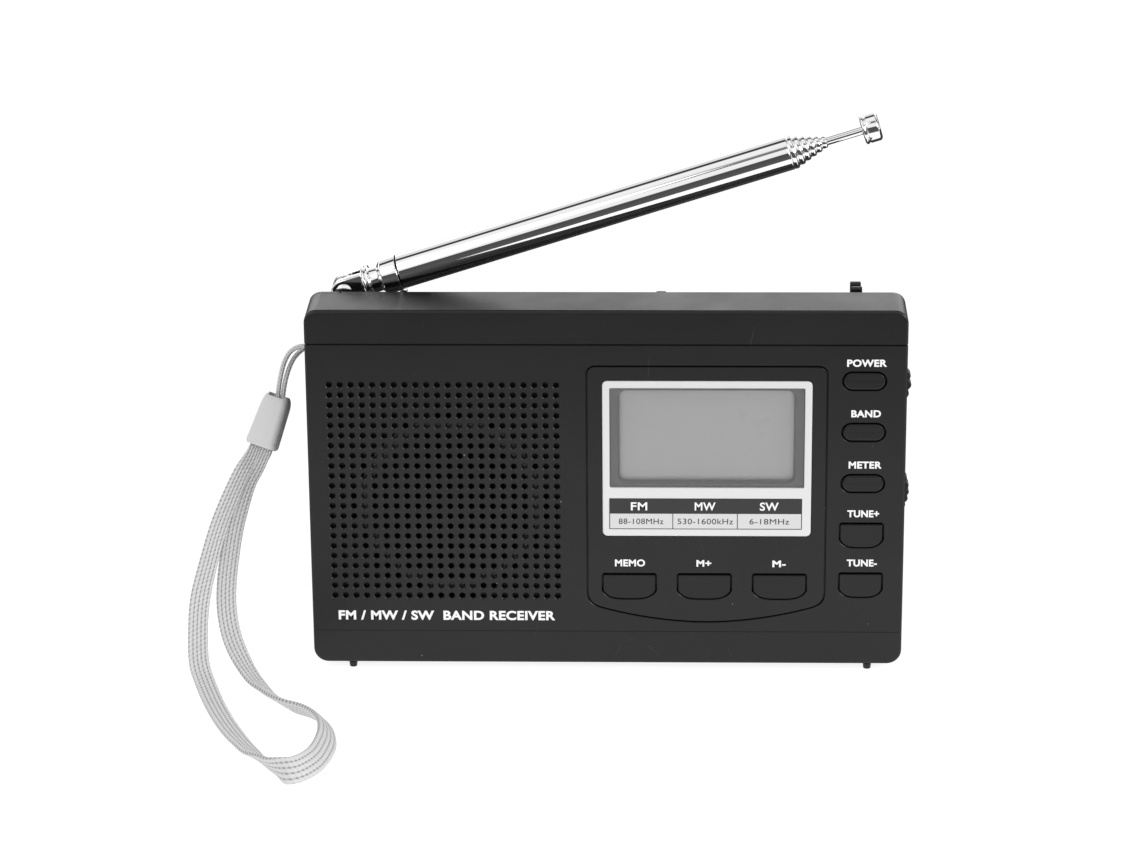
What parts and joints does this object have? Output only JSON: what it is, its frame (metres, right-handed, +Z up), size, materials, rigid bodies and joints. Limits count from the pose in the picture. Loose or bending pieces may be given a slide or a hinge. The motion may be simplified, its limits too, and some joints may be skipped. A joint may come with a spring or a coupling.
{
  "type": "portable radio",
  "caption": "Small portable multi-band radio with speaker, display, keypad, side wheels, telescopic antenna and wrist strap.",
  "frame": {"origin": "centre of the case in plan, at the bottom of its feet", "axes": "+Z up, the front with the display faces -Y, +X to the right seen from the front"},
  "size_m": [0.1455, 0.0813, 0.1127],
  "materials": {
    "case_plastic": "fine matte moulded ABS",
    "panel_plastic": "fine satin moulded plastic",
    "key_plastic": "satin moulded plastic",
    "wheel_plastic": "knurled moulded plastic",
    "silver_plastic": "satin silver paint on plastic",
    "clear_lens": "clear polished",
    "lcd": "unlit grey liquid crystal",
    "white_plastic": "smooth white",
    "circuit_board": "green solder mask",
    "chip_resin": "matte epoxy",
    "socket_plastic": "smooth moulded",
    "control_plastic": "matte moulded",
    "steel": "zinc plated",
    "magnet_ferrite": "ground ferrite",
    "speaker_paper": "black pressed paper",
    "copper_wire": "enamelled copper winding",
    "cell_jacket": "plain printed jacket, no marks",
    "wire_jacket": "smooth insulated wire",
    "chrome": "polished chrome plate",
    "strap_webbing": "braided light grey polyester",
    "slider_plastic": "matte light grey"
  },
  "bodies": {
    "case": {"front_shell": "case_plastic", "rear_shell": "case_plastic", "control_panel": "panel_plastic", "display_frame": "silver_plastic", "display_window": "clear_lens", "lcd_glass": "lcd", "lcd_reflector": "white_plastic", "main_board": "circuit_board", "tuner_chip": "chip_resin", "audio_chip": "chip_resin", "earphone_jack": "socket_plastic", "supply_jack": "socket_plastic", "volume_control": "control_plastic", "tuning_encoder": "control_plastic", "speaker_frame": "steel", "speaker_cone": "speaker_paper", "speaker_magnet": "magnet_ferrite", "ferrite_rod": "magnet_ferrite", "ferrite_coil": "copper_wire", "battery_cell_1": "cell_jacket", "battery_cell_2": "cell_jacket", "bridge_contact": "steel", "positive_contact": "steel", "negative_contact": "steel", "speaker_wire": "wire_jacket", "antenna_wire": "wire_jacket", "antenna_screw": "steel", "strap_cord": "strap_webbing", "wrist_strap": "strap_webbing", "strap_slider": "slider_plastic", "case_screw_1": "steel", "case_screw_2": "steel", "case_screw_3": "steel", "case_screw_4": "steel"},
    "door": {"battery_door": "case_plastic"},
    "volume": {"volume_wheel": "wheel_plastic"},
    "tuning": {"tuning_wheel": "wheel_plastic"},
    "swivel": {"antenna_swivel": "chrome"},
    "arm": {"antenna_root": "chrome", "antenna_pin": "chrome", "antenna_tube_1": "chrome"},
    "section_2": {"antenna_tube_2": "chrome"},
    "section_3": {"antenna_tube_3": "chrome"},
    "section_4": {"antenna_tube_4": "chrome"},
    "section_5": {"antenna_tube_5": "chrome"},
    "section_6": {"antenna_tube_6": "chrome"},
    "tip_rod": {"antenna_rod": "chrome", "antenna_tip": "chrome"},
    "power_key": {"power_button": "key_plastic"},
    "band_key": {"band_button": "key_plastic"},
    "meter_key": {"meter_button": "key_plastic"},
    "tune_up_key": {"tune_up_button": "key_plastic"},
    "tune_down_key": {"tune_down_button": "key_plastic"},
    "memory_key": {"memory_button": "key_plastic"},
    "memory_up_key": {"memory_up_button": "key_plastic"},
    "memory_down_key": {"memory_down_button": "key_plastic"}
  },
  "joints": [
    {"name": "power_press", "type": "slide", "parent": "case", "child": "power_key", "axis": [0, 1, 0], "range_m": [0, 0.0005], "stiffness_N_per_m": 400, "springref_m": -0.0005},
    {"name": "band_press", "type": "slide", "parent": "case", "child": "band_key", "axis": [0, 1, 0], "range_m": [0, 0.0005], "stiffness_N_per_m": 400, "springref_m": -0.0005},
    {"name": "meter_press", "type": "slide", "parent": "case", "child": "meter_key", "axis": [0, 1, 0], "range_m": [0, 0.0005], "stiffness_N_per_m": 400, "springref_m": -0.0005},
    {"name": "tune_up_press", "type": "slide", "parent": "case", "child": "tune_up_key", "axis": [0, 1, 0], "range_m": [0, 0.0005], "stiffness_N_per_m": 400, "springref_m": -0.0005},
    {"name": "tune_down_press", "type": "slide", "parent": "case", "child": "tune_down_key", "axis": [0, 1, 0], "range_m": [0, 0.0005], "stiffness_N_per_m": 400, "springref_m": -0.0005},
    {"name": "memory_press", "type": "slide", "parent": "case", "child": "memory_key", "axis": [0, 1, 0], "range_m": [0, 0.0005], "stiffness_N_per_m": 400, "springref_m": -0.0005},
    {"name": "memory_up_press", "type": "slide", "parent": "case", "child": "memory_up_key", "axis": [0, 1, 0], "range_m": [0, 0.0005], "stiffness_N_per_m": 400, "springref_m": -0.0005},
    {"name": "memory_down_press", "type": "slide", "parent": "case", "child": "memory_down_key", "axis": [0, 1, 0], "range_m": [0, 0.0005], "stiffness_N_per_m": 400, "springref_m": -0.0005},
    {"name": "volume_turn", "type": "hinge", "parent": "case", "child": "volume", "pos_m": [0.0543, -0.003, 0.0593], "axis": [0, 1, 0], "range_deg": [-135, 135]},
    {"name": "tuning_turn", "type": "hinge", "parent": "case", "child": "tuning", "pos_m": [0.0533, -0.003, 0.0362], "axis": [0, 1, 0], "continuous": true},
    {"name": "door_lift_off", "type": "slide", "parent": "case", "child": "door", "axis": [0, 1, 0], "range_m": [0, 0.03]},
    {"name": "antenna_swivel_turn", "type": "hinge", "parent": "case", "child": "swivel", "pos_m": [-0.0532, 0.006, 0.0757], "axis": [0, 0, 1], "range_deg": [0, 180]},
    {"name": "antenna_tilt", "type": "hinge", "parent": "swivel", "child": "arm", "pos_m": [-0.0532, 0.006, 0.0757], "axis": [0, -1, 0], "range_deg": [-17.7, 72.3]},
    {"name": "antenna_slide_2", "type": "slide", "parent": "arm", "child": "section_2", "axis": [0.9527, 0, 0.304], "range_m": [0, 0.066]},
    {"name": "antenna_slide_3", "type": "slide", "parent": "section_2", "child": "section_3", "axis": [0.9527, 0, 0.304], "range_m": [0, 0.066]},
    {"name": "antenna_slide_4", "type": "slide", "parent": "section_3", "child": "section_4", "axis": [0.9527, 0, 0.304], "range_m": [0, 0.066]},
    {"name": "antenna_slide_5", "type": "slide", "parent": "section_4", "child": "section_5", "axis": [0.9527, 0, 0.304], "range_m": [0, 0.066]},
    {"name": "antenna_slide_6", "type": "slide", "parent": "section_5", "child": "section_6", "axis": [0.9527, 0, 0.304], "range_m": [0, 0.066]},
    {"name": "antenna_rod_slide", "type": "slide", "parent": "section_6", "child": "tip_rod", "axis": [0.9527, 0, 0.304], "range_m": [-0.0045, 0.066]}
  ]
}
